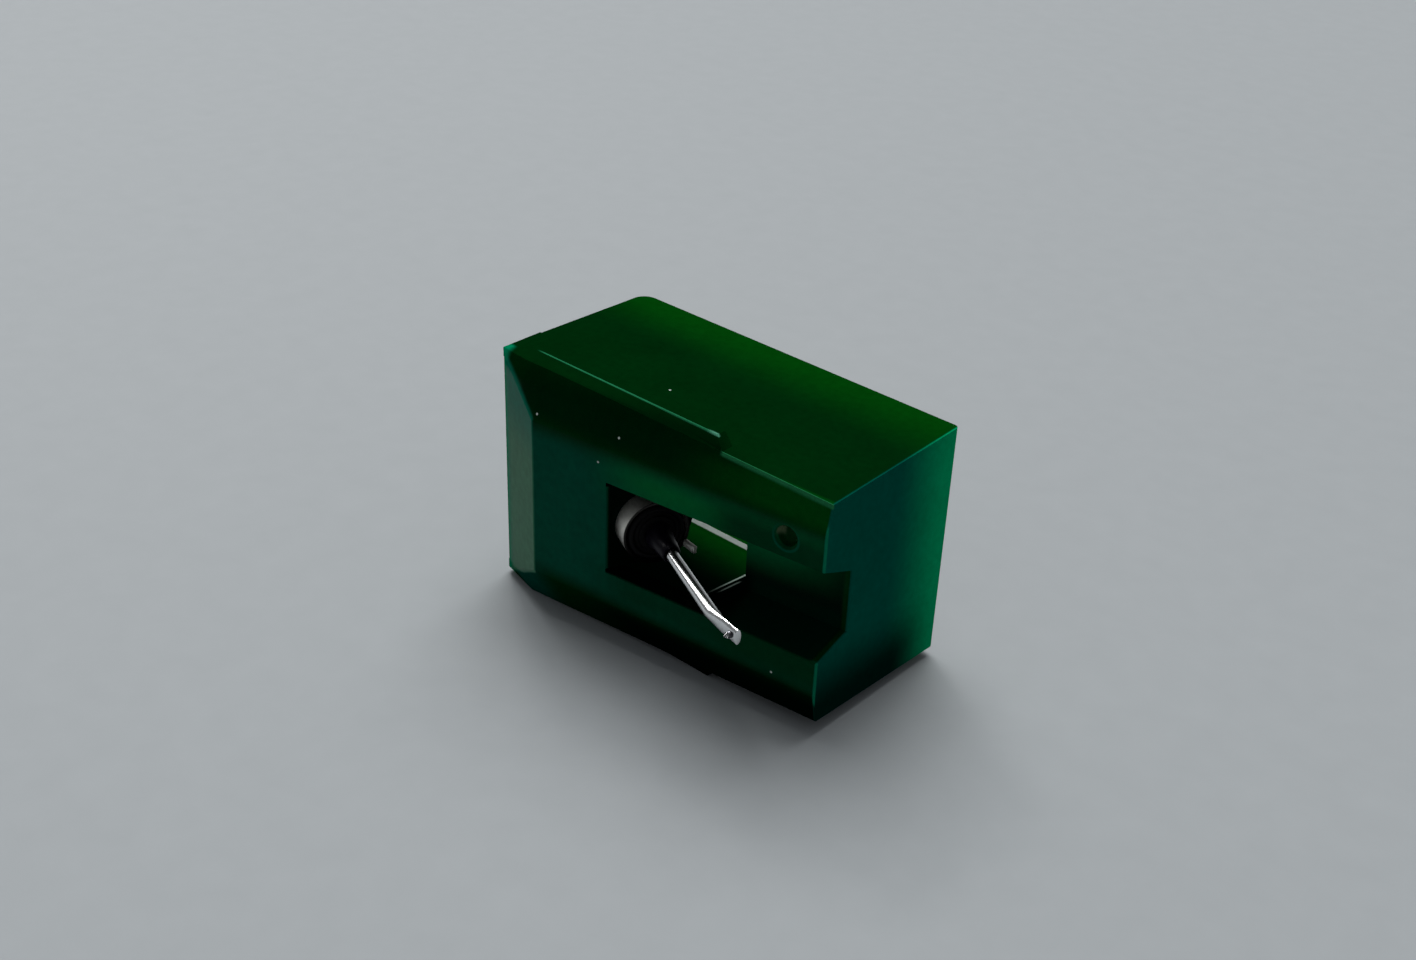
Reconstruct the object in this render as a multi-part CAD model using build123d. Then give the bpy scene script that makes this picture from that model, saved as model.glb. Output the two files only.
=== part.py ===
from build123d import *
import os
from math import cos, hypot, radians, sin, tan

# A replacement needle for a record player: a green moulded holder that clips on a pick-up body,
# with a sprung aluminium cantilever in its window. It lies on one flank, as it does on a table.
# Millimetres. X runs from the rear end to the front, Y from the record side to the socket's
# mouth, Z from flank to flank. The pieces are built with X = 0 at the rear end, Y = 0 at the
# mouth and Z = 0 on the middle plane, and are moved to the middle of the footprint at the end.

# Holder, outside
length = 16.2
ridge_x = 2.88
rear_depth = 8.04
ridge_depth = 9.15
front_depth = 7.6
crease_half = 3.42
shoulder_x = 1.75
rear_round_radius = 0.5
rear_mouth_radius = 0.6
front_mouth_radius = 0.2

# The flanks' edges lie this far back from the record side
rear_edge_setback = 0.09
shoulder_setback = 0.4345
ridge_edge_setback = 0.95
front_edge_setback = 0.23

# Half widths: the finger flanges are widest, and the block's edges stand in from them
flange_half = 5.35
mouth_inset = 0.41
rear_corner_inset = 0.27
rear_edge_inset = 0.23
shoulder_inset = 0.06
ridge_edge_inset = 0.09
front_edge_inset = 0.68

# Finger flange along each flank
flange_end_x = 11.3
flange_end_setback = 0.2253
flange_end_run = 0.42
flange_ramp_run = 1.0
flange_ramp_drop = 0.23
flange_land_rear = 1.45
flange_land_front = 0.36
flange_root = 0.4
flange_overrun = 1.2

# Holder, inside
record_wall = 0.9
flank_wall = 0.85
rear_wall = 1.0
front_wall = 1.0
socket_draft = 0.25
socket_corner_run = 0.85
socket_corner_rise = 0.9
snap_ridge_depth = 0.95
snap_ridge_height = 0.14
snap_ridge_ramp = 0.62
snap_ridge_back = 0.25
snap_ridge_inset = 1.2

# Window, slot and pit in the record side
window_x = 6.52
window_half = 2.03
slot_x = 11.7
slot_depth = 1.67
slot_mouth_half = 1.98
slot_floor_half = 1.34
slot_wall = 0.8
pit_x = 14.55
pit_z = 2.8
pit_radius = 0.5
pit_floor_radius = 0.3
pit_depth = 0.25

# Suspension: its axis leans from the socket down to the record
damper_face_x = 8.16
damper_face_depth = 7.58
cantilever_angle = 25.8
sleeve_front = -0.05
sleeve_length = 4.6
sleeve_radius = 1.34
sleeve_wall = 0.09
sleeve_fit = 0.02
tongue_angle = -30.0
tongue_length = 0.7
tongue_width = 0.3
tongue_thickness = 0.14
tongue_slope = 10.6
boss_front = -0.98
boss_thickness = 1.9
boss_wall = 0.5
damper_length = 2.0
damper_clearance = 0.1
damper_groove_radius = 0.12
damper_rim_radius = 0.15

# Cantilever and what it carries
tube_radius = 0.25
tube_bore_radius = 0.16
tube_back = -3.6
bend_reach = 6.0
crush_length = 0.8
paddle_angle = 12.3
paddle_reach = 1.3
paddle_half_width = 0.31
paddle_half_thickness = 0.14
bush_gap = 0.12
bush_length = 1.45
bush_radius = 0.55
bush_nose_radius = 0.36
glue_gap = 0.01
magnet_radius = 0.6
magnet_length = 1.3
wire_radius = 0.08
wire_grip = 0.9
anchor_length = 0.7
shank_setback = 0.3
shank_radius = 0.13
shank_head = 0.06
shank_foot = 0.1
tip_length = 0.15
tip_point_radius = 0.025

mouth_half = flange_half - mouth_inset
rear_corner_half = flange_half - rear_corner_inset
rear_edge_half = flange_half - rear_edge_inset
shoulder_half = flange_half - shoulder_inset
ridge_edge_half = flange_half - ridge_edge_inset
front_edge_half = flange_half - front_edge_inset
socket_mouth_half = mouth_half - flank_wall
socket_floor_half = socket_mouth_half - socket_draft
socket_flat_half = socket_floor_half - socket_corner_run


def between(start, end, share):
    """The value a share of the way from start to end."""
    return start + (end - start) * share


def record_face_y(x):
    """The flat of the record side, which rises from the ridge to the front."""
    return -between(ridge_depth, front_depth, (x - ridge_x) / (length - ridge_x))


def strip_depth(x):
    """The depth of the slanted strip between the rear end and the ridge."""
    return between(rear_depth, ridge_depth, x / ridge_x)


def flank_edge(x):
    """The edge, as (y, z), where a flank meets the record side: it stands out most at the shoulder."""
    stations = [(0, rear_depth - rear_edge_setback, rear_edge_half),
                (shoulder_x, strip_depth(shoulder_x) - shoulder_setback, shoulder_half),
                (ridge_x, ridge_depth - ridge_edge_setback, ridge_edge_half),
                (length, front_depth - front_edge_setback, front_edge_half)]
    for (start, depth, half), (end, next_depth, next_half) in zip(stations, stations[1:]):
        if x <= end:
            share = (x - start) / (end - start)
            return -between(depth, next_depth, share), between(half, next_half, share)


def mirrored_section(x, half_outline):
    """A face across the holder at x, from its upper half as (y, z) points."""
    upper = [(x, y, z) for y, z in half_outline]
    lower = [(x, y, -z) for y, z in reversed(half_outline)]
    return make_face(Polyline(*upper, *lower, close=True))


def section(x, outline):
    """A face across the holder at x, from (y, z) points."""
    return make_face(Polyline(*[(x, y, z) for y, z in outline], close=True))


def both_flanks(piece):
    """A piece of the upper flank and its mirror image on the lower one."""
    return piece + mirror(piece, about=Plane.XY)


# The suspension's own frame: its Z runs along the cantilever to the needle, its X away from the record
axis_dir = Vector(cos(radians(cantilever_angle)), -sin(radians(cantilever_angle)), 0)
axis_side = Vector(sin(radians(cantilever_angle)), cos(radians(cantilever_angle)), 0)
axis_plane = Plane((damper_face_x, -damper_face_depth, 0), x_dir=axis_side, z_dir=axis_dir)
sleeve_back = sleeve_front - sleeve_length
sleeve_bore_radius = sleeve_radius - sleeve_wall
damper_radius = sleeve_bore_radius - damper_clearance
boss_radius = sleeve_radius + boss_wall

# The flattened end's frame: its Z runs to the tip of the flat, its X away from the record
paddle_dir = Vector(cos(radians(paddle_angle)), -sin(radians(paddle_angle)), 0)
paddle_side = Vector(sin(radians(paddle_angle)), cos(radians(paddle_angle)), 0)
bend_point = axis_plane.origin + axis_dir * bend_reach
paddle_plane = Plane(bend_point, x_dir=paddle_side, z_dir=paddle_dir)
shank_centre = bend_point + paddle_dir * (paddle_reach - shank_setback)
shank_plane = Plane(shank_centre, x_dir=paddle_dir, z_dir=-paddle_side)
needle_reach = paddle_half_thickness + shank_foot + tip_length
needle_point = shank_centre - paddle_side * needle_reach


def on_axis(start, end, radius):
    """A round bar on the suspension's axis, from start to end."""
    bar = Cylinder(radius, end - start, align=(Align.CENTER, Align.CENTER, Align.MIN))
    return axis_plane.location * Pos(0, 0, start) * bar


def holder_outside():
    """The faceted block: a ridge near the rear, facets to the flanks, a flat to the front."""
    rear = mirrored_section(0, [(0, mouth_half), flank_edge(0), (-rear_depth, rear_corner_half)])
    strip_corner = (-strip_depth(shoulder_x), between(rear_corner_half, crease_half, shoulder_x / ridge_x))
    shoulder = mirrored_section(shoulder_x, [(0, mouth_half), flank_edge(shoulder_x), strip_corner])
    ridge = mirrored_section(ridge_x, [(0, mouth_half), flank_edge(ridge_x), (-ridge_depth, crease_half)])
    front = mirrored_section(length, [(0, mouth_half), flank_edge(length), (-front_depth, crease_half)])
    block = loft([rear, shoulder, ridge, front], ruled=True)
    rear_edges = block.edges().filter_by(Axis.Z).group_by(Axis.X)[0].sort_by(Axis.Y)
    block = fillet(rear_edges[0], rear_round_radius)
    rear_mouth_edge = block.edges().filter_by(Axis.Z).group_by(Axis.Y)[-1].sort_by(Axis.X)[0]
    block = fillet(rear_mouth_edge, rear_mouth_radius)
    front_edge = block.edges().filter_by(Axis.Z).group_by(Axis.X)[-1].sort_by(Axis.Y)[-1]
    return fillet(front_edge, front_mouth_radius)


def finger_flanges():
    """A thin lip on each flank, broad at the rear, with a ramp up to its land and a sloped front end."""
    land_y = flank_edge(flange_end_x)[0] + flange_end_setback

    def lip_section(x):
        y, z = flank_edge(x)
        near_y = between(y, land_y, flange_overrun)
        past_land = between(z, flange_half, flange_overrun)
        back_y = land_y + between(flange_land_rear, flange_land_front, x / flange_end_x)
        return section(x, [(y, z - flange_root), (y, z), (near_y, past_land),
                           (back_y, past_land), (back_y, z - flange_root)])
    lip = loft([lip_section(x) for x in (0, shoulder_x, ridge_x, flange_end_x)], ruled=True)
    root_z = front_edge_half - flange_root
    side_view = [(0, root_z), (0, flange_half - flange_ramp_drop), (flange_ramp_run, flange_half),
                 (flange_end_x - flange_end_run, flange_half), (flange_end_x, flank_edge(flange_end_x)[1]),
                 (flange_end_x, root_z)]
    outline = make_face(Polyline(*[(x, 0, z) for x, z in side_view], close=True))
    return both_flanks(lip & extrude(outline, 2 * ridge_depth, dir=(0, -1, 0)))


def socket():
    """The hollow that takes the pick-up body, open at the back."""
    def hollow_section(x, floor_y):
        corner = (floor_y + socket_corner_rise, socket_floor_half)
        draft = (socket_mouth_half - socket_floor_half) / -corner[0]
        past_mouth = (front_wall, socket_mouth_half + draft * front_wall)
        return mirrored_section(x, [past_mouth, corner, (floor_y, socket_flat_half)])
    strip_rise = ridge_depth - rear_depth
    strip_wall = record_wall * hypot(ridge_x, strip_rise) / ridge_x
    rear_floor = -between(rear_depth, ridge_depth, rear_wall / ridge_x) + strip_wall
    end_x = length - front_wall
    stations = [(rear_wall, rear_floor), (ridge_x, record_face_y(ridge_x) + record_wall),
                (end_x, record_face_y(end_x) + record_wall)]
    return loft([hollow_section(x, floor_y) for x, floor_y in stations], ruled=True)


def snap_ridges():
    """The low ridge inside each flank, near the mouth, that holds the pick-up body."""
    crest = -snap_ridge_depth
    wall = socket_mouth_half + flank_wall / 2
    top = socket_mouth_half - snap_ridge_height
    rise = snap_ridge_ramp * (wall - top) / snap_ridge_height
    fall = snap_ridge_back * (wall - top) / snap_ridge_height
    outline = [(crest - rise, wall), (crest, top), (crest + fall, wall)]
    start = rear_wall + snap_ridge_inset
    ridge = extrude(section(start, outline), length - front_wall - snap_ridge_inset - start, dir=(1, 0, 0))
    return both_flanks(ridge)


def window():
    """The opening for the cantilever, undercut at its rear along the suspension's axis."""
    corner_y = record_face_y(window_x)
    slope = tan(radians(cantilever_angle))
    run_back = window_x - rear_wall - record_wall
    outside = corner_y - ridge_depth
    inner_y = corner_y + run_back * slope + record_wall
    outline = [(window_x, outside), (window_x, corner_y), (window_x - run_back, corner_y + run_back * slope),
               (window_x - run_back, inner_y), (slot_x, inner_y), (slot_x, outside)]
    face = make_face(Polyline(*[(x, y, 0) for x, y in outline], close=True))
    return extrude(face, window_half, both=True)


def slot_sections(x, floor_rise, half_grow, reach):
    """The slot's trapezium at x, moved in by floor_rise, widened by half_grow and open by reach."""
    flare = (slot_mouth_half - slot_floor_half) / slot_depth
    face_y = record_face_y(x)
    mouth_half_width = slot_mouth_half + flare * reach + half_grow
    return mirrored_section(x, [(face_y + slot_depth + floor_rise, slot_floor_half + half_grow),
                                (face_y - reach, mouth_half_width)])


def slot_trough():
    """The walls that carry the slot's floor and flared sides across the socket."""
    ends = (slot_x, length - front_wall / 2)
    return loft([slot_sections(x, slot_wall, slot_wall, -record_wall / 2) for x in ends], ruled=True)


def slot_cut():
    """The flared slot from the window to the front, which clears the needle."""
    ends = (slot_x - record_wall, length + front_wall)
    return loft([slot_sections(x, 0, 0, record_wall) for x in ends], ruled=True)


def pit():
    """The small round moulding mark beside the slot."""
    slope = (ridge_depth - front_depth) / (length - ridge_x)
    plane = Plane((pit_x, record_face_y(pit_x), pit_z), x_dir=(1, slope, 0), z_dir=(-slope, 1, 0))
    cone = Cone(pit_radius, pit_floor_radius, pit_depth, align=(Align.CENTER, Align.CENTER, Align.MIN))
    return plane.location * cone


def sleeve_boss():
    """The pillow block, part of the moulding, that the sleeve is pressed into."""
    back = boss_front - boss_thickness
    round_part = on_axis(back, boss_front, boss_radius)
    foot_depth = 2 * boss_radius
    foot = Box(foot_depth, 2 * boss_radius, boss_thickness, align=(Align.MAX, Align.CENTER, Align.MIN))
    return round_part + axis_plane.location * Pos(0, 0, back) * foot


def stylus_holder():
    """The green moulding: the faceted block, hollowed, opened for the needle and bored for the sleeve."""
    outside = holder_outside()
    shell = outside - socket() - window()
    shell += slot_trough() & outside
    shell += snap_ridges() & outside
    shell += sleeve_boss() & outside
    shell += finger_flanges()
    sleeve_bore = on_axis(sleeve_back, sleeve_front, sleeve_radius + sleeve_fit)
    return shell - slot_cut() - pit() - sleeve_bore


def suspension_sleeve():
    """A thin metal tube with one tongue that stands forward from its rim beside the damper."""
    tube = on_axis(sleeve_back, sleeve_front, sleeve_radius)
    tube -= on_axis(sleeve_back, sleeve_front, sleeve_bore_radius)
    turn = radians(tongue_angle)
    mid_wall = sleeve_radius - sleeve_wall / 2
    rim_point = axis_plane.from_local_coords((mid_wall * cos(turn), mid_wall * sin(turn), sleeve_front))
    slope = radians(tongue_slope)
    tongue_plane = Plane(rim_point, x_dir=(sin(slope), cos(slope), 0), z_dir=(cos(slope), -sin(slope), 0))
    strip = Box(tongue_thickness, tongue_width, tongue_length + sleeve_wall,
                align=(Align.MIN, Align.CENTER, Align.MIN))
    return tube + tongue_plane.location * Pos(-sleeve_wall / 2, 0, -sleeve_wall) * strip


def rubber_damper():
    """A rubber ring round the cantilever, with a soft rim and a shallow groove in its face."""
    ring = on_axis(-damper_length, 0, damper_radius)
    ring = fillet(ring.edges().sort_by(lambda edge: edge.center().dot(axis_dir))[-1], damper_rim_radius)
    groove_centre = (damper_radius + bush_radius) / 2
    groove = axis_plane.location * Torus(groove_centre, damper_groove_radius)
    return ring - groove - on_axis(-damper_length, 0, tube_radius + damper_clearance)


def cantilever_bush():
    """The black hub that grips the tube in front of the damper, with a tapered nose."""
    plate = Cone(bush_radius, bush_nose_radius, bush_length, align=(Align.CENTER, Align.CENTER, Align.MIN))
    hub = axis_plane.location * Pos(0, 0, bush_gap) * plate
    return hub - on_axis(bush_gap, bush_gap + bush_length, tube_radius + glue_gap)


def cantilever():
    """A drawn tube, crushed flat and bent level at its far end."""
    crush_start = bend_reach - crush_length / 2
    tube = on_axis(tube_back, crush_start, tube_radius)
    round_end = axis_plane.offset(crush_start) * Circle(tube_radius)
    flat_end = paddle_plane.offset(crush_length / 2) * Ellipse(paddle_half_thickness, paddle_half_width)
    crushed = loft([round_end, flat_end])
    paddle = extrude(flat_end, paddle_reach - crush_length / 2, dir=paddle_dir)
    bore = on_axis(tube_back, crush_start - tube_radius, tube_bore_radius)
    shank_hole = shank_plane.location * Cylinder(shank_radius + glue_gap, 2 * needle_reach)
    return tube + crushed + paddle - bore - shank_hole


def magnet():
    """A short tubular magnet on the rear end of the tube, inside the sleeve."""
    ring = on_axis(tube_back, tube_back + magnet_length, magnet_radius)
    return ring - on_axis(tube_back, tube_back + magnet_length, tube_radius + glue_gap)


def wire_anchor():
    """The plug in the sleeve's rear end that grips the tie wire."""
    plug = on_axis(sleeve_back, sleeve_back + anchor_length, sleeve_bore_radius - glue_gap)
    return plug - on_axis(sleeve_back, sleeve_back + anchor_length, wire_radius + glue_gap)


def tie_wire():
    """The thin wire that keeps the tube seated against the damper."""
    return on_axis(sleeve_back, tube_back + wire_grip, wire_radius)


def stylus_shank():
    """The pin through the flattened end that carries the diamond."""
    start = -paddle_half_thickness - shank_head
    height = shank_head + 2 * paddle_half_thickness + shank_foot
    pin = Cylinder(shank_radius, height, align=(Align.CENTER, Align.CENTER, Align.MIN))
    return shank_plane.location * Pos(0, 0, start) * pin


def stylus_tip():
    """The ground diamond point."""
    point = Cone(shank_radius, tip_point_radius, tip_length, align=(Align.CENTER, Align.CENTER, Align.MIN))
    return shank_plane.location * Pos(0, 0, paddle_half_thickness + shank_foot) * point


pieces = [stylus_holder, suspension_sleeve, rubber_damper, cantilever_bush, cantilever, magnet,
          wire_anchor, tie_wire, stylus_shank, stylus_tip]

# The frame's origin: under the middle of the footprint, on the surface that the part lies on
footprint = Pos(-length / 2, -needle_point.Y / 2, flange_half)
pivot = footprint * Pos(*(axis_plane.origin - axis_dir * (damper_length / 2)))

os.makedirs("parts", exist_ok=True)
for make_piece in pieces:
    export_step(footprint * make_piece(), f"parts/{make_piece.__name__}.step")
print("pivot", pivot.position, "axis", axis_dir, "side", axis_side)
print("mouth plane y", footprint.position.Y, "needle y", needle_point.Y + footprint.position.Y)
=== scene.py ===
# %% [markdown]
# # A record player's needle in its green holder
# The part is a replacement stylus: a green moulded holder, hollow behind, with a window in its record
# side. A thin aluminium tube, the cantilever, comes out of a rubber ring in that window and carries the
# needle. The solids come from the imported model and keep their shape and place. This script gives them
# their finishes, softens their edges and sets up the picture.

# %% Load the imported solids
import bpy
import bmesh
from math import radians
from mathutils import Matrix, Vector

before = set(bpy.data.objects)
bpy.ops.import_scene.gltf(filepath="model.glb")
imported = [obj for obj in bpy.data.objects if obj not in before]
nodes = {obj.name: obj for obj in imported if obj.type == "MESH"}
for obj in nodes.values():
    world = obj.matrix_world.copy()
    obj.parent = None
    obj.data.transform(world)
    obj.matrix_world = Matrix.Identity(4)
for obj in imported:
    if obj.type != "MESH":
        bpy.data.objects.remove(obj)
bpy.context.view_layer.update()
scene = bpy.context.scene
MM = 0.001
print("pieces:", sorted(nodes))

# %% [markdown]
# ## Small helpers
# Colours are written as sRGB hex, the way a paint chart gives them, but shaders count in linear light, so
# one function converts them. A second one adds a shader node, sets its values and plugs in its links. With
# these two, each finish below reads like a short recipe.

# %% Colour and node helpers
def colour(code):
    """An sRGB hex colour as linear RGBA."""
    parts = [int(code[i:i + 2], 16) / 255 for i in (1, 3, 5)]
    linear = [p / 12.92 if p <= 0.04045 else ((p + 0.055) / 1.055) ** 2.4 for p in parts]
    return (*linear, 1.0)


def add(tree, kind, links=None, values=None, **settings):
    """A shader node of that kind, with its settings, socket values and incoming links."""
    made = tree.nodes.new(kind)
    for name, value in settings.items():
        setattr(made, name, value)
    for socket, value in (values or {}).items():
        made.inputs[socket].default_value = value
    for socket, source in (links or {}).items():
        tree.links.new(source, made.inputs[socket])
    return made


def finish_named(name):
    """A new material with its node tree, its surface shader and its object coordinates."""
    material = bpy.data.materials.new(name)
    material.use_nodes = True
    tree = material.node_tree
    shader = tree.nodes["Principled BSDF"]
    place = add(tree, "ShaderNodeTexCoord").outputs["Object"]
    return material, tree, shader, place


def dress(node, material):
    """Gives a CAD node one finish all over."""
    piece = nodes[node]
    piece.data.materials.clear()
    piece.data.materials.append(material)


print("white is", colour("#ffffff"))

# %% [markdown]
# ## Edges of a moulding
# No moulded or drawn edge is a knife edge. A tiny round catches the light as the thin bright line that
# tells the eye where two faces meet. The rounds could be cut into each mesh, but live modifiers leave the
# solids as they are. The solids arrive as loose triangles, so Weld joins them first, and Bevel then rounds
# each edge that is sharper than a limit. Bevel marks its own faces as weak, and Weighted Normal then takes
# the shading from the strong faces only, so the large facets stay clean.

# %% Round the edges
def soften(node, radius_mm, sharper_than=24, steps=2):
    """Rounds a CAD node's sharp edges with live modifiers."""
    piece = nodes[node]
    piece.data.shade_smooth()
    weld = piece.modifiers.new("join_triangles", "WELD")
    weld.merge_threshold = 0.0005 * MM
    bevel = piece.modifiers.new("edge_round", "BEVEL")
    bevel.width = radius_mm * MM
    bevel.segments = steps
    bevel.limit_method = "ANGLE"
    bevel.angle_limit = radians(sharper_than)
    bevel.use_clamp_overlap = True
    bevel.miter_outer = "MITER_ARC"
    bevel.face_strength_mode = "FSTR_ALL"
    flat = piece.modifiers.new("flat_faces", "WEIGHTED_NORMAL")
    flat.use_face_influence = True


soften("stylus_holder", 0.08, sharper_than=11)
soften("suspension_sleeve", 0.02)
soften("rubber_damper", 0.04)
soften("cantilever_bush", 0.05)
soften("cantilever", 0.02)
for small in ("magnet", "wire_anchor", "tie_wire", "stylus_shank", "stylus_tip"):
    soften(small, 0.01)
print("softened", len(nodes), "pieces")

# %% [markdown]
# ## Green plastic: where a point lies
# The holder is moulded in a dyed, slightly see-through styrene. Dye eats the red and blue light, so the eye
# sees a very deep green, and it glows where light comes through a thin wall from behind: along the open
# back, on the front end and on the record side. That light could be traced through the walls, but this is
# slow and grainy, so each glow is painted by its place. This cell measures where a point lies: along the
# axes, behind a sloping face, out from the middle plane, or away from the pit's middle.

# %% Measures for the zones
plastic, tree, shader, place = finish_named("moulded_green_styrene")
axes = add(tree, "ShaderNodeSeparateXYZ", {"Vector": place})
measures = {"x": axes.outputs["X"], "y": axes.outputs["Y"], "z": axes.outputs["Z"]}
# A dot product with the direction straight in from a face counts how far a point lies behind that face.
directions = {"face": (-0.1164, 1.0, 0.0), "strip": (0.3854, 1.0, 0.0), "edge": (-0.0623, 1.0, 0.0),
              "socket": (1.0, -0.063, 0.0)}
for name, direction in directions.items():
    behind = add(tree, "ShaderNodeVectorMath", {0: place}, {1: direction}, operation="DOT_PRODUCT")
    measures[name] = behind.outputs["Value"]
MIDDLE_Z = 5.35
from_middle = add(tree, "ShaderNodeMath", {0: axes.outputs["Z"]}, {1: MIDDLE_Z * MM}, operation="SUBTRACT")
measures["half"] = add(tree, "ShaderNodeMath", {0: from_middle.outputs[0]}, operation="ABSOLUTE").outputs[0]
PIT_MIDDLE = [c * MM for c in (6.45, -2.399, 8.15)]
from_pit = add(tree, "ShaderNodeVectorMath", {0: place}, {1: PIT_MIDDLE}, operation="DISTANCE")
measures["pit"] = from_pit.outputs["Value"]
print("zones are measured by", sorted(measures))

# %% [markdown]
# ## Green plastic: painted zones
# A zone is a colour and the limits within which it shows. A limit names a measure and two places in
# millimetres: where the zone is absent and where it is full, with a soft fade between them. Each zone is
# laid over the ones before it, as with an airbrush and masks. Dark zones are painted shade, on walls with no
# light behind them and near the card; bright ones are painted glow, on thin walls with light behind; and pale
# ones are painted highlights and reflections, on edges, ridges and the rear strip. Vertex colours could carry
# the same paint, but the large flat faces have too few vertices to hold it.

# %% The share of a zone at a point
def product(tree, sockets):
    """The product of several values, as one socket."""
    total = sockets[0]
    for socket in sockets[1:]:
        total = add(tree, "ShaderNodeMath", {0: total, 1: socket}, operation="MULTIPLY").outputs[0]
    return total


def within(tree, limits, curve="SMOOTHSTEP"):
    """How far a point lies within all the limits, from 0 to 1."""
    fades = []
    for measure, absent, full in limits:
        fade = add(tree, "ShaderNodeMapRange", {"Value": measures[measure]},
                   {"From Min": absent * MM, "From Max": full * MM}, interpolation_type=curve)
        fades.append(fade.outputs[0])
    return product(tree, fades)


# Where the record face, the rear strip and the flank edge lie, each by its own measure.
FACE, STRIP, EDGE = -3.15, -5.769, -2.482
ON_FACE = [("face", FACE + 0.15, FACE + 0.02), ("half", 3.6, 2.6)]
ON_STRIP = [("strip", STRIP + 0.12, STRIP + 0.01), ("x", -5.1, -5.25)]
ON_FRONT = ("x", 8.0, 8.08)
ON_FLANGE = [("y", -2.12, -2.07), ("z", 10.6, 10.65), ("x", 3.15, 3.05)]
UPPER_FACET, LOWER_FACET = ("z", 8.6, 9.3), ("face", FACE + 1.3, FACE + 1.0)
BEHIND_ENDS = [("x", -7.2, -7.0), ("x", 7.9, 7.7)]
WINDOW = [("face", FACE + 0.02, FACE + 0.15), ("half", 2.5, 2.3)]
SOCKET = [("half", 4.6, 4.4), ("face", FACE + 1.6, FACE + 2.0), *BEHIND_ENDS]
LOWER_WALL = [("z", 3.0, 2.5), *SOCKET]
print("record face at", FACE, "strip at", STRIP, "flank edge at", EDGE)

# %% Zones of the outside
outside_zones = [
    # Painted glow where light comes through the thin walls along the open back.
    ("glow along the open back", "#024008", [("y", 2.0, 5.4)]),
    # Painted shade on the rear of the upper facet and painted light on its front.
    ("upper facet, shaded", "#001e08", [UPPER_FACET, ("face", FACE + 1.1, FACE + 0.6), ("x", 5.0, 0.0)]),
    ("upper facet, front", "#00420e", [UPPER_FACET, ("face", FACE + 0.5, FACE + 0.3), ("x", 1.0, 6.0)]),
    # Painted shade on the lower facet, darkest near the card, and painted light on its rear.
    ("lower facet", "#000a04", [LOWER_FACET, ("z", 2.6, 1.2), ("x", -4.5, 0.0)]),
    ("lower facet, rear", "#004034", [LOWER_FACET, ("z", 2.8, 1.8), ("x", -4.0, -6.0)]),
    # Painted glow and reflection on the record face: lighter above the window, darker below it and towards the
    # front.
    ("record face", "#004836", ON_FACE),
    ("record face, above the window", "#00602e", [*ON_FACE, ("x", -3.0, 1.0), ("z", 6.0, 8.0)]),
    ("record face, below the window", "#003a24", [*ON_FACE, ("x", -3.0, 0.0), ("z", 4.4, 3.2)]),
    ("record face, front", "#00361c", [*ON_FACE, ("x", 2.5, 4.5)]),
]
print(len(outside_zones), "zones outside")

# %% Zones of the window, the slot and the socket
inside_zones = [
    ("inside, no light behind", "#000a04",
     [("face", FACE + 0.5, FACE + 0.8), ("half", 3.9, 3.7), *BEHIND_ENDS]),
    # Painted shade on the walls of the window and the slot, a little less dark on the slot's lower side.
    ("walls of the window and slot", "#000a04", [*WINDOW, *BEHIND_ENDS]),
    ("slot, lower side", "#001c10", [*WINDOW, ("z", 5.0, 4.4), ("x", 3.6, 4.2), ("x", 7.9, 7.7)]),
    ("slot floor, light behind", "#006a3a",
     [("face", FACE + 1.5, FACE + 1.6), ("face", FACE + 1.9, FACE + 1.8), ("half", 2.3, 2.1),
      ("z", 4.6, 6.6), ("x", 3.4, 3.6), ("x", 9.0, 4.0)]),
    # Painted shade deep in the socket, away from its open mouth.
    ("socket, far from its mouth", "#000a04", [("y", 3.6, 1.0), *SOCKET]),
    ("socket, shade beside the slot", "#000302",
     [("socket", 0.32, 0.36), ("x", 2.8, 1.2), ("y", 3.6, 2.7), *LOWER_WALL]),
    # Painted highlights where a step inside the socket and its foot catch the light.
    ("socket, step that catches light", "#a4b8ac",
     [("socket", 0.23, 0.26), ("socket", 0.34, 0.31), ("y", 0.4, 2.4), ("y", 2.8, 2.74), *LOWER_WALL]),
    ("socket, foot of that step", "#5a665f",
     [("socket", 0.46, 0.49), ("socket", 0.57, 0.54), ("y", 0.8, 1.4), ("y", 2.3, 2.0), *LOWER_WALL]),
    # Painted glint of light on the snap ridges.
    ("snap ridges, painted glint", "#a0aaa5", [("y", 4.18, 4.24), ("y", 4.5, 4.46), ("half", 3.8, 3.9), *SOCKET]),
]
print(len(inside_zones), "zones inside")

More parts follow.
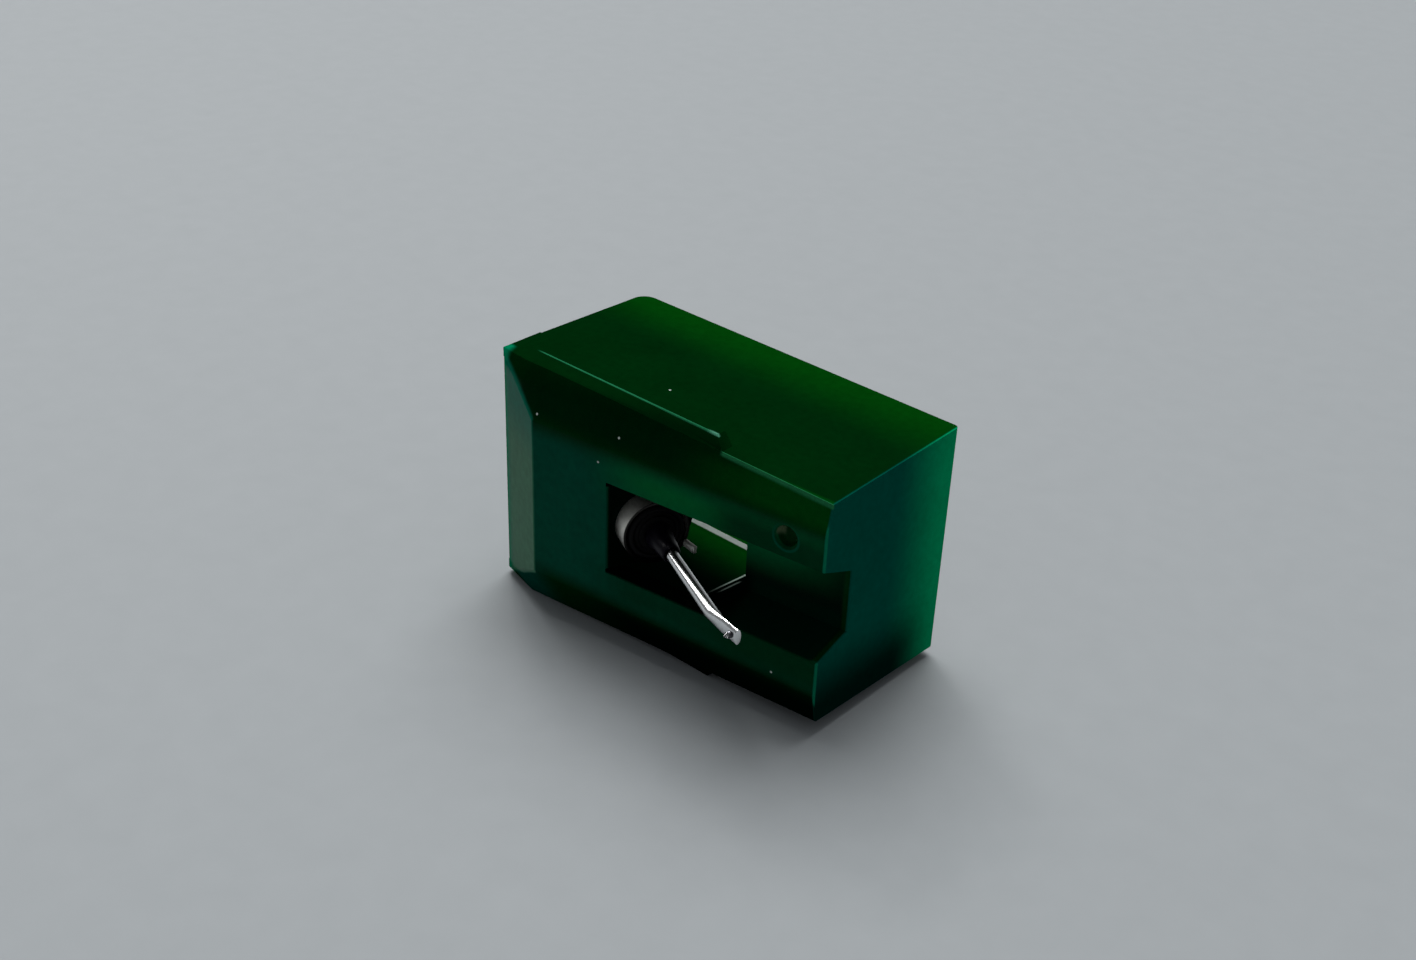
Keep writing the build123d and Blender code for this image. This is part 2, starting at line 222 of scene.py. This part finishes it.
# %% Zones of the pit, the ends and the rubbed edges
edge_zones = [
    # Painted highlight on the pit's rim and painted light on its lit side.
    ("pit rim, painted highlight", "#004a34",
     [("pit", 0.62, 0.56), ("pit", 0.46, 0.52), ("z", 8.9, 7.9), ("face", FACE + 0.1, FACE + 0.03)]),
    ("pit, lit side", "#4a5a40",
     [("pit", 0.5, 0.44), ("x", 6.35, 6.15), ("z", 8.0, 8.3), ("face", FACE + 0.03, FACE + 0.1)]),
    # Painted glow on the front end, brightest at its back edge, and painted shade at its foot.
    ("front end", "#004f42", [ON_FRONT]),
    ("front end, back edge", "#029a62", [ON_FRONT, ("y", 1.6, 5.6)]),
    ("front end, foot", "#001e18", [ON_FRONT, ("z", 4.0, 1.2), ("y", 5.4, 2.4)]),
    # Painted highlight along the front corner.
    ("front corner, painted highlight", "#087052", [("x", 8.0, 8.06), ("face", FACE + 0.11, FACE + 0.04)]),
    # Painted reflection on the rear strip, with painted light along its rear edge.
    ("strip", "#0c6650", ON_STRIP),
    ("strip, painted reflection", "#3f7456", [*ON_STRIP, ("x", -8.0, -7.2), ("z", 9.0, 6.5)]),
    ("strip, rear edge", "#007c54", [("strip", STRIP + 0.6, STRIP + 0.4), ("x", -7.4, -7.85)]),
    # Painted highlights along the flange and flank edges.
    ("flange edge, painted highlight", "#267a52", [*ON_FLANGE, ("y", -2.01, -2.05), ("x", -6.7, -6.2)]),
    ("flange end, painted highlight", "#5aa083", [*ON_FLANGE, ("y", -1.95, -2.05), ("x", 2.2, 2.6)]),
    ("flank edge, painted highlight", "#237046",
     [("edge", EDGE - 0.06, EDGE - 0.02), ("edge", EDGE + 0.05, EDGE + 0.01),
      ("z", 9.8, 9.9), ("x", 3.1, 3.3)]),
]
print(len(edge_zones), "zones on ends and edges")

# %% Lay the zones over the dyed plastic
DYED = colour("#01280a")
paint = None
for name, code, limits in outside_zones + inside_zones + edge_zones:
    links = {"Factor": within(tree, limits)}
    if paint is not None:
        links[6] = paint
    coat = add(tree, "ShaderNodeMix", links, {6: DYED, 7: colour(code)}, data_type="RGBA", label=name)
    paint = coat.outputs[2]
print("zones laid over", DYED)

# %% [markdown]
# ## Green plastic: dust
# A few white specks of lint lie on the holder, each about a tenth of a millimetre across. Each could be a
# small mesh, but lint this flat shows no thickness, so it is painted as a dot round a point.

# %% Dust on the green plastic
LINT = colour("#c9d2cc")
SPECK_RIM, SPECK_CORE = 0.06, 0.03
specks = [(-5.064, -3.596, 9.053), (-1.201, -3.04, 9.336), (-1.96, -3.378, 8.133), (-1.172, -0.366, 10.39),
          (6.209, -2.427, 2.187)]
for speck in specks:
    away = add(tree, "ShaderNodeVectorMath", {0: place}, {1: [c * MM for c in speck]}, operation="DISTANCE")
    dot = add(tree, "ShaderNodeMapRange", {"Value": away.outputs["Value"]},
              {"From Min": SPECK_RIM * MM, "From Max": SPECK_CORE * MM})
    coat = add(tree, "ShaderNodeMix", {"Factor": dot.outputs[0], 6: paint}, {7: LINT}, data_type="RGBA")
    paint = coat.outputs[2]
print(len(specks), "specks of dust")

# %% [markdown]
# ## Green plastic: depth and gleam
# The melt flowed through the mould in broad streaks, and fine haze stands in the plastic, so the colour is a
# little uneven at two scales. The surface is smooth, but old plastic gleams only weakly: a low specular
# level keeps the green deep. The flanks, both ends, the lower facet and the socket were left dull and have
# no gleam at all, which gives the eye the flat, waxy green of the photograph. The tool marks of the mould
# are finer than the grain here, and are drawn coarser so that they just show.

# %% Depth of the colour
STREAK, CLOUD = 2.5, 0.3
flow = add(tree, "ShaderNodeTexNoise", {"Vector": place}, {"Scale": 1 / (STREAK * MM), "Detail": 3.0})
dye = add(tree, "ShaderNodeMapRange", {"Value": flow.outputs[0]}, {"To Min": 0.8, "To Max": 1.2})
haze = add(tree, "ShaderNodeTexNoise", {"Vector": place}, {"Scale": 1 / (CLOUD * MM), "Detail": 2.0})
cloud = add(tree, "ShaderNodeMapRange", {"Value": haze.outputs[0]}, {"To Min": 0.8, "To Max": 1.2})
depth = product(tree, [dye.outputs[0], cloud.outputs[0]])
mottle = add(tree, "ShaderNodeVectorMath", {0: paint, "Scale": depth}, operation="SCALE")
tree.links.new(mottle.outputs[0], shader.inputs["Base Color"])
print("colour varies over", STREAK, "mm and", CLOUD, "mm")

# %% Gleam and grain
GLEAM = 0.02
dull_places = [
    [("half", 4.4, 4.6)],
    [("x", 7.9, 8.0)],
    [("x", -7.6, -7.9)],
    [("z", 2.3, 1.9), ("strip", STRIP + 0.02, STRIP + 0.1)],
    [("y", 4.24, 4.16), *SOCKET],
]
shares_left = []
for limits in dull_places:
    dull = within(tree, limits, curve="LINEAR")
    left = add(tree, "ShaderNodeMath", {1: dull}, {0: 1.0}, operation="SUBTRACT")
    shares_left.append(left.outputs[0])
gleam = add(tree, "ShaderNodeMath", {0: product(tree, shares_left)}, {1: GLEAM}, operation="MULTIPLY")
tree.links.new(gleam.outputs[0], shader.inputs["Specular IOR Level"])
shader.inputs["Specular Tint"].default_value = colour("#19cbaa")
shader.inputs["Roughness"].default_value = 0.14
shader.inputs["IOR"].default_value = 1.5
grain = add(tree, "ShaderNodeTexNoise", {"Vector": place}, {"Scale": 1 / (0.5 * MM), "Detail": 3.0})
skin = add(tree, "ShaderNodeBump", {"Height": grain.outputs[0]}, {"Strength": 0.05, "Distance": 0.05 * MM})
tree.links.new(skin.outputs[0], shader.inputs["Normal"])
dress("stylus_holder", plastic)
print(plastic.name, len(tree.nodes), "nodes")

# %% [markdown]
# ## Bare metals
# A bare metal shows little but what it mirrors, so its colour is light and its roughness decides how sharp
# the mirror is. The marks of its making, from tumbling, drawing, turning or grinding, make both a little
# uneven. Such marks could be scratches along the piece, but at this size the eye only sees a fine grain, so
# a noise does. The real marks are finer, and are drawn coarser so that they just show.

# %% Metal finishes
def metal(name, code, roughness, mark_mm, bump):
    """A bare metal with fine marks of a given spacing."""
    material, tree, shader, place = finish_named(name)
    marks = add(tree, "ShaderNodeTexNoise", {"Vector": place}, {"Scale": 1 / (mark_mm * MM), "Detail": 3.0})
    bright = colour(code)
    dull = (*[0.75 * c for c in bright[:3]], 1.0)
    tone = add(tree, "ShaderNodeMix", {"Factor": marks.outputs[0]}, {6: dull, 7: bright}, data_type="RGBA")
    tree.links.new(tone.outputs[2], shader.inputs["Base Color"])
    shader.inputs["Metallic"].default_value = 1.0
    worn = add(tree, "ShaderNodeMapRange", {"Value": marks.outputs[0]},
               {"To Min": roughness * 0.8, "To Max": roughness * 1.2})
    tree.links.new(worn.outputs[0], shader.inputs["Roughness"])
    ridge = add(tree, "ShaderNodeBump", {"Height": marks.outputs[0]}, {"Strength": bump, "Distance": 0.01 * MM})
    tree.links.new(ridge.outputs[0], shader.inputs["Normal"])
    return material


metals = [
    # Tumbling leaves a light, even grey with no mirror in it.
    ("suspension_sleeve", "tumbled_plated_steel", "#f4f2ea", 0.5, 0.15, 0.3),
    # A drawn tube is bright, with one sharp streak of light along it.
    ("cantilever", "drawn_aluminium", "#eceded", 0.17, 0.2, 0.05),
    # A ground magnet is dark grey and dull.
    ("magnet", "ground_magnet_alloy", "#6f7072", 0.4, 0.2, 0.2),
    # Turned brass is warm and fairly bright.
    ("wire_anchor", "turned_brass", "#c9a45a", 0.3, 0.2, 0.1),
    # Drawn steel wire is a bright thin line.
    ("tie_wire", "drawn_steel_wire", "#b5b6b8", 0.25, 0.1, 0.1),
    # The ground pin is a dark dot with a small glint.
    ("stylus_shank", "ground_steel_pin", "#56565a", 0.3, 0.1, 0.1),
]
for node, name, code, roughness, mark_mm, bump in metals:
    dress(node, metal(name, code, roughness, mark_mm, bump))
print(len(metals), "metals")

# %% [markdown]
# ## Painted shade on the sleeve
# The lower half of the sleeve and its rim lie in shade, and painted shade makes them nearly black, so that
# only a crescent of lit metal shows. The tongue that stands out past the rim is left light. The shade could
# be a second finish on some faces, but its edge is soft, so it darkens the one finish by place.

# %% Painted shade on the sleeve below its middle and on its rim
tree = nodes["suspension_sleeve"].data.materials[0].node_tree
shader = tree.nodes["Principled BSDF"]
bare = shader.inputs["Base Color"].links[0].from_socket
place = add(tree, "ShaderNodeTexCoord").outputs["Object"]
height = add(tree, "ShaderNodeSeparateXYZ", {"Vector": place}).outputs["Z"]
upper = add(tree, "ShaderNodeMapRange", {"Value": height},
            {"From Min": 4.5 * MM, "From Max": 5.7 * MM, "To Min": 0.03})
SLEEVE_AXIS = (0.9003, -0.4352, 0.0)
along = add(tree, "ShaderNodeVectorMath", {0: place}, {1: SLEEVE_AXIS}, operation="DOT_PRODUCT")
back = add(tree, "ShaderNodeMapRange", {"Value": along.outputs["Value"]},
           {"From Min": 0.95 * MM, "From Max": 0.9 * MM, "To Min": 0.05})
tongue = add(tree, "ShaderNodeMapRange", {"Value": along.outputs["Value"]},
             {"From Min": 0.98 * MM, "From Max": 1.04 * MM, "To Max": 0.8})
# Painted shade: darker below the middle and near the rim, lighter again on the tongue.
lit_share = add(tree, "ShaderNodeMath", {0: upper.outputs[0], 1: back.outputs[0], 2: tongue.outputs[0]},
            operation="MULTIPLY_ADD")
shaded_metal = add(tree, "ShaderNodeVectorMath", {0: bare, "Scale": lit_share.outputs[0]}, operation="SCALE")
tree.links.new(shaded_metal.outputs[0], shader.inputs["Base Color"])
print("shade painted on the sleeve,", len(tree.nodes), "nodes")

# %% [markdown]
# ## Black rubber, black bush and diamond
# The damper is moulded rubber, which gives the eye a soft black with hardly any gleam. The bush is moulded
# nylon, a little smoother and faintly blue. Both have a fine grain in the skin. The needle's point is a
# ground diamond: clear, with a high refraction that makes it sparkle, and here and there a coarser polish.
# One recipe serves both blacks, since only their colour and roughness differ.

# %% Black mouldings
def black(name, code, roughness):
    """A black moulding with a faint grain in its skin."""
    material, tree, shader, place = finish_named(name)
    grain = add(tree, "ShaderNodeTexNoise", {"Vector": place}, {"Scale": 1 / (0.15 * MM), "Detail": 3.0})
    deep = colour(code)
    pale = (*[1.8 * c for c in deep[:3]], 1.0)
    tone = add(tree, "ShaderNodeMix", {"Factor": grain.outputs[0]}, {6: deep, 7: pale}, data_type="RGBA")
    tree.links.new(tone.outputs[2], shader.inputs["Base Color"])
    shader.inputs["Roughness"].default_value = roughness
    shader.inputs["Specular IOR Level"].default_value = 0.1
    skin = add(tree, "ShaderNodeBump", {"Height": grain.outputs[0]}, {"Strength": 0.15, "Distance": 0.02 * MM})
    tree.links.new(skin.outputs[0], shader.inputs["Normal"])
    return material


dress("rubber_damper", black("moulded_black_rubber", "#030304", 0.6))
dress("cantilever_bush", black("moulded_black_nylon", "#08060e", 0.3))
print("two black mouldings")

# %% Diamond
gem, tree, shader, place = finish_named("ground_diamond")
facets = add(tree, "ShaderNodeTexNoise", {"Vector": place}, {"Scale": 1 / (0.08 * MM), "Detail": 2.0})
polish = add(tree, "ShaderNodeMapRange", {"Value": facets.outputs[0]}, {"To Min": 0.02, "To Max": 0.12})
tree.links.new(polish.outputs[0], shader.inputs["Roughness"])
shader.inputs["Transmission Weight"].default_value = 1.0
shader.inputs["IOR"].default_value = 2.42
dress("stylus_tip", gem)
print(gem.name, "on the tip")

# %% [markdown]
# ## Stage
# The part lies on a plain grey card. A card is matte with a faint fibre in it, so the eye takes it for a
# surface and not for a void. A grid of one face is enough, because the card is flat.

# %% Grey card
bm = bmesh.new()
bmesh.ops.create_grid(bm, x_segments=1, y_segments=1, size=0.6)
card_mesh = bpy.data.meshes.new("grey_card")
bm.to_mesh(card_mesh)
bm.free()
card = bpy.data.objects.new("grey_card", card_mesh)
scene.collection.objects.link(card)
paper, tree, shader, place = finish_named("matte_grey_card")
fibre = add(tree, "ShaderNodeTexNoise", {"Vector": place}, {"Scale": 1 / (1.5 * MM), "Detail": 4.0})
tone = add(tree, "ShaderNodeMix", {"Factor": fibre.outputs[0]},
           {6: colour("#a3a8ab"), 7: colour("#a9aeb1")}, data_type="RGBA")
tree.links.new(tone.outputs[2], shader.inputs["Base Color"])
shader.inputs["Roughness"].default_value = 0.8
shader.inputs["Specular IOR Level"].default_value = 0.2
card_mesh.materials.append(paper)
print("card", card_mesh.name)

# %% [markdown]
# ## Light
# A large softbox stands overhead and behind the part, so the soft shadow falls to the front. Two small lamps
# to the left only draw highlights: they are hidden from matte light, because that would wash out the deep
# green. A dim, even room fills the shadows. One lamp could do it all, but then the highlights and the shadow
# could not be set apart.

# %% Room and lamps
world = bpy.data.worlds.new("dim_room")
scene.world = world
world.use_nodes = True
sky = world.node_tree.nodes["Background"]
sky.inputs["Color"].default_value = colour("#dfe3e6")
sky.inputs["Strength"].default_value = 0.24


def softbox(name, place, width, height, power):
    """A rectangular area lamp that faces the part."""
    lamp = bpy.data.lights.new(name, "AREA")
    lamp.shape = "RECTANGLE"
    lamp.size = width
    lamp.size_y = height
    lamp.energy = power
    stand = bpy.data.objects.new(name, lamp)
    aim = (-Vector(place)).to_track_quat("-Z", "Y")
    stand.matrix_world = Matrix.Translation(place) @ aim.to_matrix().to_4x4()
    scene.collection.objects.link(stand)
    return stand


softbox("overhead_softbox", (-0.416, 0.512, 1.344), 1.28, 1.28, 22.5)
edge_lamp = softbox("edge_lamp", (-0.14, 0.088, 0.188), 0.035, 0.03, 0.7)
side_lamp = softbox("side_lamp", (-0.212, 0.011, 0.132), 0.12, 0.12, 0.3)
for lamp in (edge_lamp, side_lamp):
    lamp.visible_diffuse = False

# %% [markdown]
# ## Camera
# The camera stands where the photograph was taken from: 41 degrees round to the needle's side and 30 degrees
# up, with a slight roll. Its place was found by fitting the holder's edges. It could track the part instead,
# but then the picture's middle would move with the part's shape.

# %% Camera of the photograph
camera = bpy.data.cameras.new("photo_camera")
camera.sensor_width = 36.0
camera.lens = 44.0
camera.clip_start = 0.001
camera.clip_end = 10.0
view_from = Vector((38.294, -42.965, 40.476)) * MM
ROUND, UP, ROLL = 41.262, 30.319, 2.363
turn = (Matrix.Rotation(radians(ROUND), 4, "Z") @ Matrix.Rotation(radians(90 - UP), 4, "X")
        @ Matrix.Rotation(radians(ROLL), 4, "Z"))
eye = bpy.data.objects.new("photo_camera", camera)
eye.matrix_world = Matrix.Translation(view_from) @ turn
scene.collection.objects.link(eye)
scene.camera = eye
scene.view_settings.view_transform = "Standard"
print("camera at", [round(v / MM, 1) for v in view_from], "mm")
